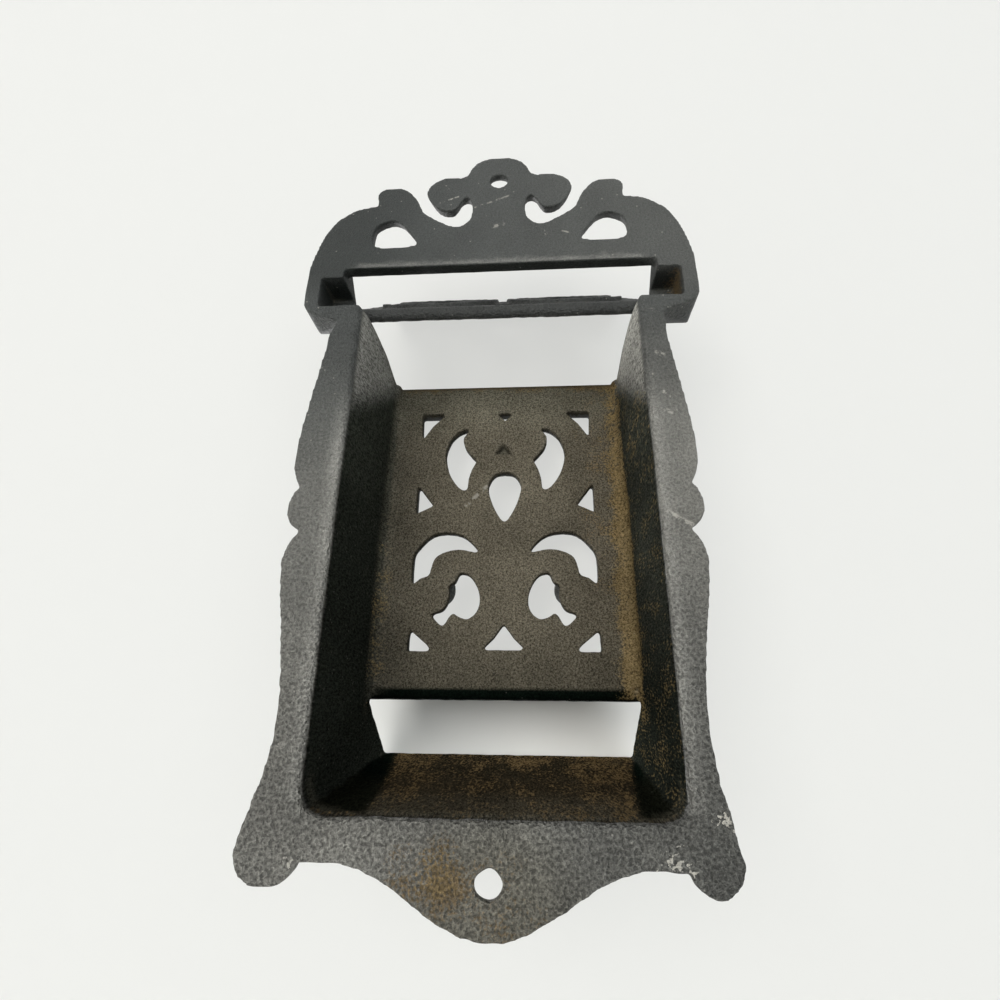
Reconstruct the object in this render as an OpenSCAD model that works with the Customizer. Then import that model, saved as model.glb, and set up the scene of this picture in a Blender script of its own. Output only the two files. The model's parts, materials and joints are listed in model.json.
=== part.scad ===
// Cast iron wall match holder with a pierced, hinged lid, in millimetres.
// +Z is up, the wall is the plane Y = 0 and the front is +Y.
// The origin is midway between the two screw holes, on the wall plane.

/* [Box] */
// Inside width between the cheeks, room for a kitchen match
inner_w = 66; // [50:0.5:90]
// Height of the box from the back edge of its floor to its rim
inner_h = 107.5; // [85:0.5:140]
// Depth from the wall to the back of the front panel
panel_y = 37; // [28:0.5:45]
// Thickness of the front panel
panel_t = 3.4; // [2.5:0.1:6]
// Thickness of a cheek
cheek_t = 3; // [2:0.1:5]
// Radius of the fillets between the cheeks and the panel
corner_r = 3.5; // [1:0.1:6]

/* [Tray] */
// Depth from the wall to the front edge of the tray
tray_y = 57; // [50:0.5:75]
// Thickness of the tray's floor
tray_t = 3; // [2:0.1:5]
// Rise of the floor from the wall to the front edge
tray_rise = 5.5; // [0:0.1:10]
// Height of the dispensing mouth, from the floor's back edge to the panel's lower edge
mouth_h = 19; // [14:0.5:30]

/* [Back frame] */
// Thickness of the frame against the wall
frame_t = 3.2; // [2:0.1:5]
// Least width of a side rail beside the box
rail_w = 5.4; // [4:0.1:9]
// How far the scallops of a rail stand out
scallop = 3.8; // [1:0.1:6]
// Radius of the two lower ears
ear_r = 5; // [4:0.1:6]
// Reach of an ear past the inside of the box
ear_out = 8.9; // [7:0.1:11]
// Depth of an ear below the floor's back edge
ear_drop = 10.3; // [8.5:0.1:14]
// Depth of the lower flange between an ear and the lobe
flange_drop = 6.6; // [4:0.1:8]
// Depth of the lower lobe at its tip
lobe_drop = 16.8; // [14:0.1:25]
// Half width of the lobe where it runs out into the flange
lobe_half = 26; // [18:0.5:28]

/* [Crest] */
// Thickness of the crest
crest_t = 2.9; // [2:0.1:3.2]
// Height of the crest above its lower edge
crest_h = 36; // [32:0.5:50]
// Height of the slot between the box's rim and the crest
crest_gap = 11; // [9.5:0.1:16]
// Radius of the raised scroll eyes on the crest's front
eye_r = 3.6; // [2:0.1:4.5]

/* [Screw holes] */
// Diameter of both screw holes
screw_d = 4.6; // [3.5:0.1:5.5]
// Diameter of their countersinks at the front
sink_d = 7; // [6:0.1:8]
// Depth of the countersinks
sink_h = 1.2; // [0.5:0.1:1.6]
// Distance of the lower hole below the floor's back edge
hole_drop = 9; // [7:0.1:10]
// Distance of the upper hole above the crest's lower edge
hole_rise = 27.5; // [24:0.1:28]

/* [Hinge] */
// Diameter of the lid's pins and hinge bar
pin_d = 3.2; // [2.5:0.1:4]
// Length of a pin past the lid's side
pin_l = 6.2; // [4:0.1:8]
// Gap between a pin and the end, floor and front of its pocket
pin_gap = 0.25; // [0.15:0.05:0.5]
// Height of a pin pocket
pocket_h = 8.5; // [6:0.1:9]
// Depth of a pin pocket from the wall
pocket_y = 8.4; // [7.5:0.1:10]
// Thickness of the metal in front of a pocket
pocket_web = 2.4; // [2:0.1:6]
// Thickness of the metal under the front of a pocket
pocket_floor = 1.3; // [1:0.1:3]
// Distance of a boss's inner face from the inside of the box
boss_in = 5; // [4:0.1:7]
// Width of a boss, out to the crest's end
boss_w = 9; // [8.5:0.1:12]
// Depth of a boss below the rim
boss_drop = 4.3; // [3.5:0.1:10]
// Depth of a boss's flat underside from the wall
boss_foot = 2.4; // [1:0.1:4]
// Bevel at the front of a boss, where it runs into the crest
boss_bevel = 1.8; // [0.5:0.1:3]

/* [Lid] */
// Angle of the lid in the model, 0 is closed and 90 is open
lid_angle = 42; // [0:1:90]
// Thickness of the lid
lid_t = 3; // [2:0.1:3.1]
// Reach of the lid past the front of the panel
lid_over = 8.5; // [4:0.1:12]
// Gap between the lid's sides and the hinge bosses
lid_gap = 1; // [0.5:0.1:2]
// Width of the lid's bars along its hinge and its front
lid_bar = 4.6; // [3:0.1:6]
// Width of the lid's end bars
lid_end = 5.6; // [4:0.1:7]
// Width of the lid's two scroll rings
lid_ring_w = 4.4; // [3:0.1:5]
// Radius of the scroll in each ring
lid_scroll_r = 5.4; // [4.5:0.1:6]
// Width of the web that joins the two rings
lid_web = 13; // [8:0.1:16]

/* [Ornament] */
// Height of the raised ornament on the panel, the crest and the lid
relief = 1; // [0.5:0.1:1.2]
// Margin from a cheek's inner face to the pierced field of the panel
field_side = 8.4; // [6:0.1:12]
// Margin from the mouth to the pierced field
field_low = 11.5; // [9:0.1:16]
// Margin from the rim to the pierced field
field_top = 9.2; // [6:0.1:14]
// Width of the raised rings on the panel
ring_w = 3.4; // [2:0.1:5]

/* [Hidden] */
$fn = 48;

// Overshoot of cutting tools, and overlap of shapes that run into each other
cut = 1;
lap = 0.4;
// Steps between two points of a curve, and in a round edge
steps = 3;
arc_steps = 10;

half_w = inner_w / 2;
outer_half = half_w + cheek_t;
screw_span = hole_drop + inner_h + crest_gap + hole_rise;
floor_z = hole_drop - screw_span / 2;
crest_z = inner_h + crest_gap;

boss_half = half_w + boss_in;
boss_y = pocket_y + pocket_web;
boss_h = crest_gap + boss_drop;
crest_half = boss_half + boss_w;
lid_half = boss_half - lid_gap;
pin_end = lid_half + pin_l;
pocket_half = pin_end + pin_gap;
axis_y = pocket_y - pin_gap - pin_d / 2;
axis_z = inner_h + pin_gap + pin_d / 2;
lid_y = panel_y + panel_t + lid_over - axis_y;

field_half = half_w - field_side;
field_z = mouth_h + field_low;
field_h = inner_h - field_top - field_z;

// Height of the tray's floor at a depth from the wall
function floor_at(y) = tray_rise * y / tray_y;

// Smooth curve through points, open or closed, and a round arc
function bend(a, b, c, d, t) = b + t * (c - a) / 2 + t * t * (2 * a - 5 * b + 4 * c - d) / 2
    + t * t * t * (3 * b - a - 3 * c + d) / 2;
function curve(p) = [for (i = [0 : len(p) - 2], k = [0 : steps - 1])
    bend(p[max(i - 1, 0)], p[i], p[i + 1], p[min(i + 2, len(p) - 1)], k / steps), p[len(p) - 1]];
function loop(p) = [for (i = [0 : len(p) - 1], k = [0 : steps - 1])
    bend(p[(i + len(p) - 1) % len(p)], p[i], p[(i + 1) % len(p)], p[(i + 2) % len(p)], k / steps)];
function arc(x, y, r, a, b) = [for (i = [0 : arc_steps]) let (t = a + (b - a) * i / arc_steps)
    [x + r * cos(t), y + r * sin(t)]];

// Points given in hundredths of a width and a height
function sized(p, w, h) = [for (q = p) [q[0] * w / 100, q[1] * h / 100]];
// Rail points: hundredths of the box's height, then of the scallop
function rail(p) = [for (q = p) [half_w + rail_w + q[1] * scallop / 100, q[0] * inner_h / 100]];
// An outline drawn at +X from top to bottom, then its mirror image back up
function mirrored(p) = concat(p, [for (i = [len(p) - 1 : -1 : 0]) if (p[i][0] > 0) [-p[i][0], p[i][1]]]);

// An X-Z outline made a plate from depth y to y + t
module plate(y, t) {
    translate([0, y + t, 0]) rotate([90, 0, 0]) linear_extrude(t) children();
}

// A Y-Z outline made a bar from x to x + w
module bar(x, w) {
    translate([x, 0, 0]) rotate([90, 0, 90]) linear_extrude(w) children();
}

// Both halves of a shape that is drawn at +X
module both() {
    children();
    mirror([1, 0, 0]) children();
}

// From heights above the floor's back edge to the shared frame
module placed() {
    translate([0, 0, floor_z]) children();
}

// Screw hole with its countersink in a plate of thickness t
module screw_hole(z, t) {
    translate([0, 0, z]) rotate([-90, 0, 0]) rotate_extrude() polygon([[0, -cut], [screw_d / 2, -cut],
        [screw_d / 2, t - sink_h], [sink_d / 2, t], [sink_d / 2, t + relief + cut], [0, t + relief + cut]]);
}

// Outer edge of the right rail, from the boss down to the ear: scallop, bead, scallop
upper_scallop = [[93.5, 12], [89, 18], [84, 38], [75, 72], [66, 100], [60, 98], [56, 52]];
bead = [[55, 80], [53, 100], [50.5, 100], [48.5, 72]];
lower_scallop = [[47.2, 18], [45.5, 55], [43, 84], [40, 88], [34, 66], [28, 36], [19, 2], [12, 0], [6, 18], [2, 52]];

module back_frame() {
    ear_x = half_w + ear_out - ear_r;
    ear_z = ear_r - ear_drop;
    // Where the ear's inner side meets the flange's lower edge
    ear_turn = acos((flange_drop + ear_r - ear_drop) / ear_r);
    lobe = [for (i = [12 : -1 : 0]) [i * lobe_half / 12,
        -flange_drop - (lobe_drop - flange_drop) * (1 + cos(180 * i / 12)) / 2]];
    edge = concat([[half_w, 0], [half_w, inner_h], [boss_half, inner_h], [boss_half, inner_h - boss_drop]],
        curve(rail(upper_scallop)), curve(rail(bead)), curve(rail(lower_scallop)),
        arc(ear_x, ear_z, ear_r, 0, -90 - ear_turn), lobe);
    color("dimgray") placed() difference() {
        plate(0, frame_t) polygon(mirrored(edge));
        screw_hole(-hole_drop, frame_t);
    }
}

// Right half of the crest, from its end up to the top, in hundredths
crest_end = [[100, 0], [98.5, 11], [96, 24], [93, 34], [89, 43], [83, 50], [78, 54], [72, 56], [67, 56.5]];
crest_bud = [[67, 60], [67.5, 65], [67, 70], [64, 73], [58.5, 74], [53.5, 73], [49.5, 69], [45.5, 62.5], [43, 55],
    [40.5, 48], [36, 43.5], [31, 39], [26, 35.5], [22, 34.5], [18.5, 36.5], [15.5, 41], [14.5, 47], [14.5, 53],
    [15.5, 59], [17.5, 62], [19.5, 60], [21, 56], [23.5, 51], [27, 49.5], [31.5, 51], [35.5, 55.5], [38.5, 62],
    [40, 68], [38.5, 74], [35, 78.5], [30, 81.5], [25, 82], [21.5, 81]];
crest_top = [[18, 83], [16.5, 87], [14.5, 92], [10.5, 97], [5, 99.5], [0, 100]];
crest_eye = [[45, 18.5], [55, 18], [65, 18.5], [67.5, 24], [67.5, 32], [65.5, 38], [61.5, 41.5], [57.5, 42.5],
    [53, 39.5], [48, 31], [44, 22.5]];
// Middles of the raised scroll eyes: the centre's two lobes, the two buds and the two ends
crest_scrolls = [[28, 66], [58, 62], [84, 24]];

module crest() {
    wedge = boss_y - boss_bevel - crest_t;
    color("slategray") placed() difference() {
        translate([0, 0, crest_z]) union() {
            plate(0, crest_t) difference() {
                polygon(mirrored(concat([[0, 0]], curve(sized(crest_end, crest_half, crest_h)),
                    curve(sized(crest_bud, crest_half, crest_h)), curve(sized(crest_top, crest_half, crest_h)))));
                both() polygon(loop(sized(crest_eye, crest_half, crest_h)));
            }
            both() for (p = crest_scrolls) translate([p[0] * crest_half / 100, crest_t - cut, p[1] * crest_h / 100])
                rotate([-90, 0, 0]) cylinder(r1 = eye_r + cut, r2 = eye_r - relief, h = relief + cut);
            // Wedges that run the crest's ends out into the hinge bosses
            both() bar(boss_half, boss_w - 2 * boss_bevel)
                polygon([[cut, 0], [boss_y - boss_bevel, 0], [crest_t, wedge], [cut, wedge]]);
        }
        screw_hole(crest_z + hole_rise, crest_t);
    }
}

// Right hinge boss: the crest's curled end, with the pin pocket open to the wall and to the lid
boss_curl = [[0, 100], [30, 101], [55, 101], [70, 98], [78, 90], [84, 75], [88, 55], [94, 30], [99, 12]];

module hinge_boss() {
    placed() difference() {
        intersection() {
            plate(0, boss_y) polygon(concat([[boss_half, crest_z - boss_h], [boss_half, crest_z]],
                curve([for (q = boss_curl) [boss_half + q[1] * boss_w / 100, crest_z - q[0] * boss_h / 100]])));
            bar(boss_half - cut, boss_w + 2 * cut) polygon([[0, crest_z], [0, crest_z - boss_h],
                [boss_foot, crest_z - boss_h], [pocket_y, inner_h - pocket_floor], [boss_y, inner_h],
                [boss_y, crest_z - boss_bevel], [boss_y - boss_bevel, crest_z]]);
        }
        translate([boss_half - cut, -cut, inner_h]) cube([pocket_half - boss_half + cut, pocket_y + cut, pocket_h]);
    }
}

module right_hinge_boss() {
    color("darkslategray") hinge_boss();
}

module left_hinge_boss() {
    color("darkslategray") mirror([1, 0, 0]) hinge_boss();
}

// Right cheek: stands on the tray, behind the panel, and runs out along the mouth to the tray's edge
module cheek() {
    placed() {
        bar(half_w, cheek_t) polygon([[frame_t, floor_at(frame_t)], [tray_y, floor_at(tray_y)], [panel_y, mouth_h],
            [panel_y, inner_h], [frame_t, inner_h]]);
        translate([0, 0, mouth_h]) linear_extrude(inner_h - mouth_h) polygon(concat([[half_w + lap, panel_y],
            [half_w - corner_r, panel_y]], arc(half_w - corner_r, panel_y - corner_r, corner_r, 90, 0),
            [[half_w + lap, panel_y - corner_r]]));
    }
}

module right_cheek() {
    color("olive") cheek();
}

module left_cheek() {
    color("olive") mirror([1, 0, 0]) cheek();
}

// Openings of the right half of the panel, in hundredths of the pierced field
top_corner = [[100, 100], [70, 100], [86, 94], [98, 87.5]];
top_point = [[-10, 100], [10, 100], [0, 96]];
upper_leaf = [[42, 92.5], [53, 91.5], [63, 88], [68.5, 82.5], [68.5, 78], [64, 72], [56, 67], [49, 64.5], [43, 64.5],
    [41.5, 69], [38, 73.5], [33, 77.5], [38.5, 80], [46, 83.5], [49, 87.5], [45.5, 90]];
drop = [[0, 72], [11.5, 71], [18, 67], [18, 63.5], [13, 57.5], [5, 52], [0, 50.5], [-5, 52], [-13, 57.5], [-18, 63.5],
    [-18, 67], [-11.5, 71]];
side_point = [[100, 67], [100, 54], [80, 57.5]];
lower_leaf = [[99, 25.5], [99.5, 36], [91.5, 41], [79, 45], [64, 46], [48, 45], [36, 42], [28, 38], [34.5, 38], [49, 39],
    [64, 38], [75, 35.5], [79, 31.5], [81.5, 28.5], [90, 27.5]];
comma = [[44, 29.5], [35.5, 28], [27.5, 23], [25.5, 18.5], [28.5, 14.5], [36, 12], [42.5, 12], [49, 13], [53, 14],
    [57.5, 12.5], [62.5, 9.5], [68, 10], [76, 13], [74, 14], [66, 15], [60.5, 17.5], [58, 21], [59, 24.5], [52.5, 26],
    [49, 29]];
low_corner = [[99, 8], [100, 0], [74, 0], [80, 2.5]];
low_point = [[0, 10], [10, 5], [23, 0.5], [-23, 0.5], [-10, 5]];

module openings() {
    translate([0, field_z]) {
        both() {
            for (p = [top_corner, side_point, low_corner]) polygon(sized(p, field_half, field_h));
            for (p = [upper_leaf, lower_leaf, comma]) polygon(loop(sized(p, field_half, field_h)));
        }
        for (p = [top_point, low_point]) polygon(sized(p, field_half, field_h));
        polygon(loop(sized(drop, field_half, field_h)));
    }
}

// Middles of the raised rings and of their scroll eyes, in hundredths of the field, and their radii in its half width
medallion = [0, 76, 95];
scroll_ring = [54, 27.5, 71];
scroll_eye = [72, 23, 14];

module ring(p, w) {
    r = p[2] * field_half / 100;
    translate([p[0] * field_half / 100, field_z + p[1] * field_h / 100]) difference() {
        circle(r = r);
        if (w < r) circle(r = r - w);
    }
}

// Raised lines on the panel's front: a border, a medallion and two scroll rings
module ornament() {
    difference() {
        translate([-outer_half, mouth_h]) square([2 * outer_half, inner_h - mouth_h]);
        translate([-field_half, field_z]) square([2 * field_half, field_h]);
    }
    intersection() {
        translate([-field_half - lap, field_z - lap]) square([2 * (field_half + lap), field_h + 2 * lap]);
        union() {
            ring(medallion, ring_w);
            both() ring(scroll_ring, ring_w);
            both() ring(scroll_eye, field_half);
        }
    }
}

module front_grille() {
    color("saddlebrown") placed() difference() {
        union() {
            plate(panel_y, panel_t) translate([-outer_half, mouth_h]) square([2 * outer_half, inner_h - mouth_h]);
            plate(panel_y + panel_t - cut, relief + cut) ornament();
        }
        plate(panel_y - cut, panel_t + relief + 2 * cut) openings();
    }
}

// Sloping floor with a round front edge
module match_tray() {
    color("sienna") placed() bar(-outer_half, 2 * outer_half) polygon(concat(
        [[frame_t, floor_at(frame_t) - tray_t], [frame_t, floor_at(frame_t)]],
        arc(tray_y, floor_at(tray_y) - tray_t / 2, tray_t / 2, 90, -90)));
}

// The lid lies flat here, with its hinge axis along X at Y = 0
ring_r = (lid_y - 2 * lid_bar + pin_d / 2) / 2 + lap;
ring_x = lid_half / 2;
ring_y = (lid_y - pin_d / 2) / 2;

module lid_outline() {
    web_half = ring_x - sqrt(ring_r * ring_r - lid_web * lid_web / 4) + lap;
    intersection() {
        translate([-lid_half, 0]) square([2 * lid_half, lid_y]);
        union() {
            difference() {
                translate([-lid_half, 0]) square([2 * lid_half, lid_y]);
                translate([lid_end - lid_half, lid_bar - pin_d / 2])
                    square([2 * (lid_half - lid_end), lid_y - 2 * lid_bar + pin_d / 2]);
            }
            translate([-web_half, ring_y - lid_web / 2]) square([2 * web_half, lid_web]);
            both() translate([ring_x, ring_y]) lid_scroll();
        }
    }
}

// One ring, with a scroll at its outer end and two leaves that curl in from its inner end
module lid_scroll() {
    inner_r = ring_r - lid_ring_w;
    difference() {
        circle(r = ring_r);
        circle(r = inner_r);
    }
    scroll_x = inner_r / 2;
    scroll_y = inner_r / 5;
    translate([scroll_x, scroll_y]) circle(r = lid_scroll_r);
    polygon([[inner_r + lap, 0], [inner_r * 0.75, inner_r * 0.75], [scroll_x, scroll_y + lid_scroll_r - lap],
        [scroll_x + lid_scroll_r * 0.8, scroll_y - lid_scroll_r * 0.5]]);
    leaf_r = inner_r * 0.73;
    difference() {
        translate([leaf_r - inner_r - lap, 0]) circle(r = leaf_r);
        translate([leaf_r - inner_r + inner_r * 0.08, -inner_r * 0.09]) circle(r = leaf_r * 0.68);
        translate([0, -inner_r]) square(2 * inner_r);
    }
}

// Raised bands along the two rings and on their scrolls
module lid_ornament() {
    both() translate([ring_x, ring_y]) {
        intersection() {
            difference() {
                circle(r = ring_r - lap);
                circle(r = ring_r - lid_ring_w / 2);
            }
            translate([-ring_r, -ring_r]) square([ring_r + lid_half - lid_end - ring_x, 2 * ring_r]);
        }
        translate([(ring_r - lid_ring_w) / 2, (ring_r - lid_ring_w) / 5]) circle(r = lid_scroll_r * 0.7);
    }
}

module lid() {
    color("gray") placed() translate([0, axis_y, axis_z]) rotate([lid_angle, 0, 0]) {
        translate([-pin_end, 0, 0]) rotate([0, 90, 0]) cylinder(d = pin_d, h = 2 * pin_end);
        translate([0, 0, -lid_t / 2]) linear_extrude(lid_t) lid_outline();
        linear_extrude(lid_t / 2 + relief) lid_ornament();
    }
}

back_frame();
crest();
left_hinge_boss();
right_hinge_boss();
left_cheek();
right_cheek();
front_grille();
match_tray();
lid();
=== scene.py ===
# %% [markdown]
# # A cast iron match holder
# The holder is one iron casting: a flat back frame, a pierced crest, a box and a tray. A pierced lid hangs
# on two pins that are cast onto its hinge bar. This lesson loads the CAD solids as a frame, gives the two
# castings the soft edges and the raised scrolls of a sand casting, and paints them as old blackened iron.

import json
import math

import bpy
import numpy as np
from mathutils import Matrix, Vector, kdtree


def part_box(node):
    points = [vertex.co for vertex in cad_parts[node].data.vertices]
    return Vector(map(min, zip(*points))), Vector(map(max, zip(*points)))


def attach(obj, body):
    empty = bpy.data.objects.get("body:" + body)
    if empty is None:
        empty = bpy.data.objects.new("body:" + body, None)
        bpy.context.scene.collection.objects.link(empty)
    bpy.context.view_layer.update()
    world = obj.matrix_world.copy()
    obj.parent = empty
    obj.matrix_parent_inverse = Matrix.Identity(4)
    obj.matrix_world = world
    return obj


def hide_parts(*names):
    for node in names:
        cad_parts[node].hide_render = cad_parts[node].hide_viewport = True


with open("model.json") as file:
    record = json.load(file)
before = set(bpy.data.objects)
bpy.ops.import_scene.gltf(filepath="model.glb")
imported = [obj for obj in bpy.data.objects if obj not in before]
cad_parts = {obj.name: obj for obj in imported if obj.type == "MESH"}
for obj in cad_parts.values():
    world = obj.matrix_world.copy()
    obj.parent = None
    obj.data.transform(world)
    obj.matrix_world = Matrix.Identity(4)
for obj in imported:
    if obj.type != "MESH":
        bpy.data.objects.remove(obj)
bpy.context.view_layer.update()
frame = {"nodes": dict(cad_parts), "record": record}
MM = 0.001

# %% [markdown]
# ## Places on the holder
# The solids already say where most things are, so the script asks them where the panel, the crest, the tray
# and the hinge are. What a box can't tell, such as the middles of the ornament, is written in millimetres
# where it is first needed.

# %% Places read from the frame
HOLDER_NODES = ["back_frame", "crest", "left_hinge_boss", "right_hinge_boss", "left_cheek", "right_cheek",
                "front_grille", "match_tray"]
panel_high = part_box("front_grille")[1]
crest_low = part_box("crest")[0]
tray_low, tray_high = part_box("match_tray")
hinge = frame["record"]["behaviour"]["joints"][0]
hinge_at = np.array(hinge["pos_m"])
lid_turn = math.radians(-hinge["range_deg"][0])
print("rim height in mm:", round(panel_high.z / MM, 1))
print("lid raised by", round(math.degrees(lid_turn)), "degrees")

# %% [markdown]
# ## From solids to one skin
# On the real holder no seam shows, because the iron ran into one mould. A bevel on each solid would leave
# seams, so the solids are joined, filled with small voxels and drawn over with one new skin. Smoothing that
# skin a little rounds each edge and fills each inner corner, as sand and paint do.

# %% Meshes as arrays
def node_arrays(name):
    """Points and triangles of a CAD node, read as whole arrays."""
    mesh = frame["nodes"][name].data
    points = np.empty(3 * len(mesh.vertices))
    mesh.vertices.foreach_get("co", points)
    mesh.calc_loop_triangles()
    corners = np.empty(3 * len(mesh.loop_triangles), dtype=int)
    mesh.loop_triangles.foreach_get("vertices", corners)
    return points.reshape(-1, 3), corners.reshape(-1, 3).tolist()


def mesh_arrays(mesh):
    """Points, normals and edges of a mesh."""
    points = np.empty(3 * len(mesh.vertices))
    mesh.vertices.foreach_get("co", points)
    normals = np.empty(3 * len(mesh.vertices))
    mesh.vertex_normals.foreach_get("vector", normals)
    edges = np.empty(2 * len(mesh.edges), dtype=int)
    mesh.edges.foreach_get("vertices", edges)
    return points.reshape(-1, 3), normals.reshape(-1, 3), edges.reshape(-1, 2)


def neighbour_mean(values, edges, rounds):
    """Each point's values moved halfway to the mean of its neighbours', a number of rounds."""
    count = np.maximum(np.bincount(edges.ravel(), minlength=len(values)), 1)
    for _ in range(rounds):
        total = [np.bincount(edges[:, 0], column[edges[:, 1]], len(values))
                 + np.bincount(edges[:, 1], column[edges[:, 0]], len(values)) for column in values.T]
        values = 0.5 * values + 0.5 * (np.array(total) / count).T
    return values


def fade(low, high, x):
    """0 below low, 1 above high, smooth between; high may be the smaller."""
    t = np.clip((x - low) / (high - low), 0, 1)
    return t * t * (3 - 2 * t)


def put_points(mesh, points):
    """Writes moved points back into a mesh."""
    mesh.vertices.foreach_set("co", points.ravel())
    mesh.update()


# %% Skin over joined solids
def evaluated(piece):
    """A new mesh with the piece's modifiers applied."""
    seen = piece.evaluated_get(bpy.context.evaluated_depsgraph_get())
    return bpy.data.meshes.new_from_object(seen)


def skin(name, parts, voxel, rounds):
    """One closed skin round all the parts: filled with voxels, then smoothed a number of rounds."""
    starts = np.cumsum([0] + [len(points) for points, faces in parts])
    points = np.concatenate([points for points, faces in parts])
    faces = [[i + start for i in face] for (p, f), start in zip(parts, starts) for face in f]
    rough = bpy.data.meshes.new(name + "_rough")
    rough.from_pydata(points.tolist(), [], faces)
    piece = bpy.data.objects.new(name, rough)
    bpy.context.collection.objects.link(piece)
    weld = piece.modifiers.new("weld", "WELD")
    weld.merge_threshold = 0.005 * MM
    fill = piece.modifiers.new("fill", "REMESH")
    fill.mode = "VOXEL"
    fill.voxel_size = voxel
    soften = piece.modifiers.new("soften", "SMOOTH")
    soften.factor = 0.5
    soften.iterations = rounds
    piece.data = evaluated(piece)
    piece.data.name = name
    piece.modifiers.clear()
    bpy.data.meshes.remove(rough)
    print(name, "is drawn over with", len(piece.data.vertices), "points")
    return piece


def thinned(piece, triangles):
    """The skin with fewer triangles: short edges on flat places are closed up first."""
    cut = piece.modifiers.new("thin", "DECIMATE")
    cut.ratio = min(1, triangles / (2 * len(piece.data.vertices)))
    fine = piece.data
    piece.data = evaluated(piece)
    piece.data.name = piece.name
    piece.modifiers.clear()
    bpy.data.meshes.remove(fine)
    piece.data.shade_smooth()
    print(piece.name, "keeps", sum(len(f.vertices) - 2 for f in piece.data.polygons), "triangles")


# %% [markdown]
# ## Sand-cast unevenness
# A face that was cast in sand is never quite flat and its outline wanders a little. The unevenness is a sum
# of waves in all directions, with lengths from two to nine millimetres, and moves each point along its
# normal.

# %% Waves in all directions
def waves(points, shortest, longest, count, seed):
    """Sum of sine waves with drawn directions, lengths and phases, scaled to a spread of about one."""
    draw = np.random.default_rng(seed)
    direction = draw.normal(size=(count, 3))
    direction /= np.linalg.norm(direction, axis=1)[:, None]
    length = shortest * (longest / shortest) ** draw.random(count)
    phase = draw.random(count) * 2 * np.pi
    angle = points @ (2 * np.pi * direction / length[:, None]).T + phase
    return np.sin(angle).sum(1) / math.sqrt(count / 2)


# %% [markdown]
# ## Raised scrolls
# The front of such a holder is covered in scrolls, and the photograph shows them on the lid: half-round
# ridges that follow rings, curl into a volute and end in leaf tips. Each ridge is an ellipse carried along
# a flat path, so one function makes them all. The ridges are closed, so the voxel skin takes them in with
# the plate that they lie on.

# %% Paths and ridges
def curve_through(points, steps=8):
    """Smooth path through a few points: each stretch is a cubic with slopes from its neighbours."""
    p = np.array(points, dtype=float)
    a, b, c, d = np.vstack([p[:1], p[:-2]]), p[:-1], p[1:], np.vstack([p[2:], p[-1:]])
    t = (np.arange(steps) / steps)[None, :, None]
    a, b, c, d = (q[:, None, :] for q in (a, b, c, d))
    bent = b + t * (c - a) / 2 + t**2 * (2 * a - 5 * b + 4 * c - d) / 2 + t**3 * (3 * b - a - 3 * c + d) / 2
    return np.vstack([bent.reshape(-1, p.shape[1]), p[-1:]])


def arc_path(middle, radius, start, end, steps=48):
    """Part of a circle, angles in degrees."""
    t = np.radians(np.linspace(start, end, steps))
    return np.stack([middle[0] + radius * np.cos(t), middle[1] + radius * np.sin(t)], 1)


def volute(middle, outer, inner, start, turns, steps=56):
    """Spiral that winds in from the outer to the inner radius while it turns."""
    t = np.linspace(0, 1, steps)
    angle = np.radians(start + 360 * turns * t)
    radius = outer + (inner - outer) * t**0.8
    return np.stack([middle[0] + radius * np.cos(angle), middle[1] + radius * np.sin(angle)], 1)


def ridge(path, across, up, place, sides=10, taper=0.12):
    """An ellipse carried along a flat path: across half wide, up high, thinned to points at both ends.

    place turns the flat path's two numbers and a height into points of the shared frame.
    """
    t = np.linspace(0, 1, len(path))
    thin = np.clip(np.minimum(t, 1 - t) / taper, 0.05, 1) ** 0.6
    along = np.gradient(path, axis=0)
    along /= np.linalg.norm(along, axis=1)[:, None]
    side = np.stack([along[:, 1], -along[:, 0]], 1)
    turn = np.linspace(0, 2 * np.pi, sides, endpoint=False)
    flat = path[:, None, :] + side[:, None, :] * (across * thin[:, None] * np.cos(turn))[:, :, None]
    height = up * thin[:, None] * np.sin(turn)
    points = place(flat[..., 0].ravel(), flat[..., 1].ravel(), height.ravel())
    row = np.arange(len(path) - 1)[:, None] * sides
    col = np.arange(sides)[None, :]
    nxt = (col + 1) % sides
    quads = np.stack([row + col, row + nxt, row + sides + nxt, row + sides + col], -1).reshape(-1, 4)
    ends = [list(range(sides))[::-1], [len(points) - sides + i for i in range(sides)]]
    return points, quads.tolist() + ends


def on_panel(u, v, h):
    """Flat ornament on the panel's front, in millimetres from the middle and from the box's floor."""
    return np.stack([u * MM, panel_high.y + h * MM, FLOOR_Z + v * MM], 1)


def on_crest(u, v, h):
    """Flat ornament on the crest's front, in millimetres from the middle and from the crest's lower edge."""
    return np.stack([u * MM, CREST_FACE + h * MM, crest_low.z + v * MM], 1)


def on_lid(u, v, h):
    """Flat ornament on the lid's top, in millimetres along the hinge and out from it."""
    y, z = v * MM, LID_FACE + h * MM
    return np.stack([u * MM, y * math.cos(lid_turn) - z * math.sin(lid_turn),
                     y * math.sin(lid_turn) + z * math.cos(lid_turn)], 1) + hinge_at


# The box's floor at the wall, the crest's thickness and front face, and the lid's top above its hinge axis
FLOOR_Z = -68.5 * MM
CREST_T = 2.9
CREST_FACE = CREST_T * MM
LID_FACE = 1.5 * MM

# %% [markdown]
# ## The holder's ornament
# From behind, the holes in the panel show where the scrolls run: one large medallion above and two rings
# below, with a curl in each. The ridges on the front follow those holes. The front itself isn't seen, so
# their sections are copied from the lid.

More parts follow.
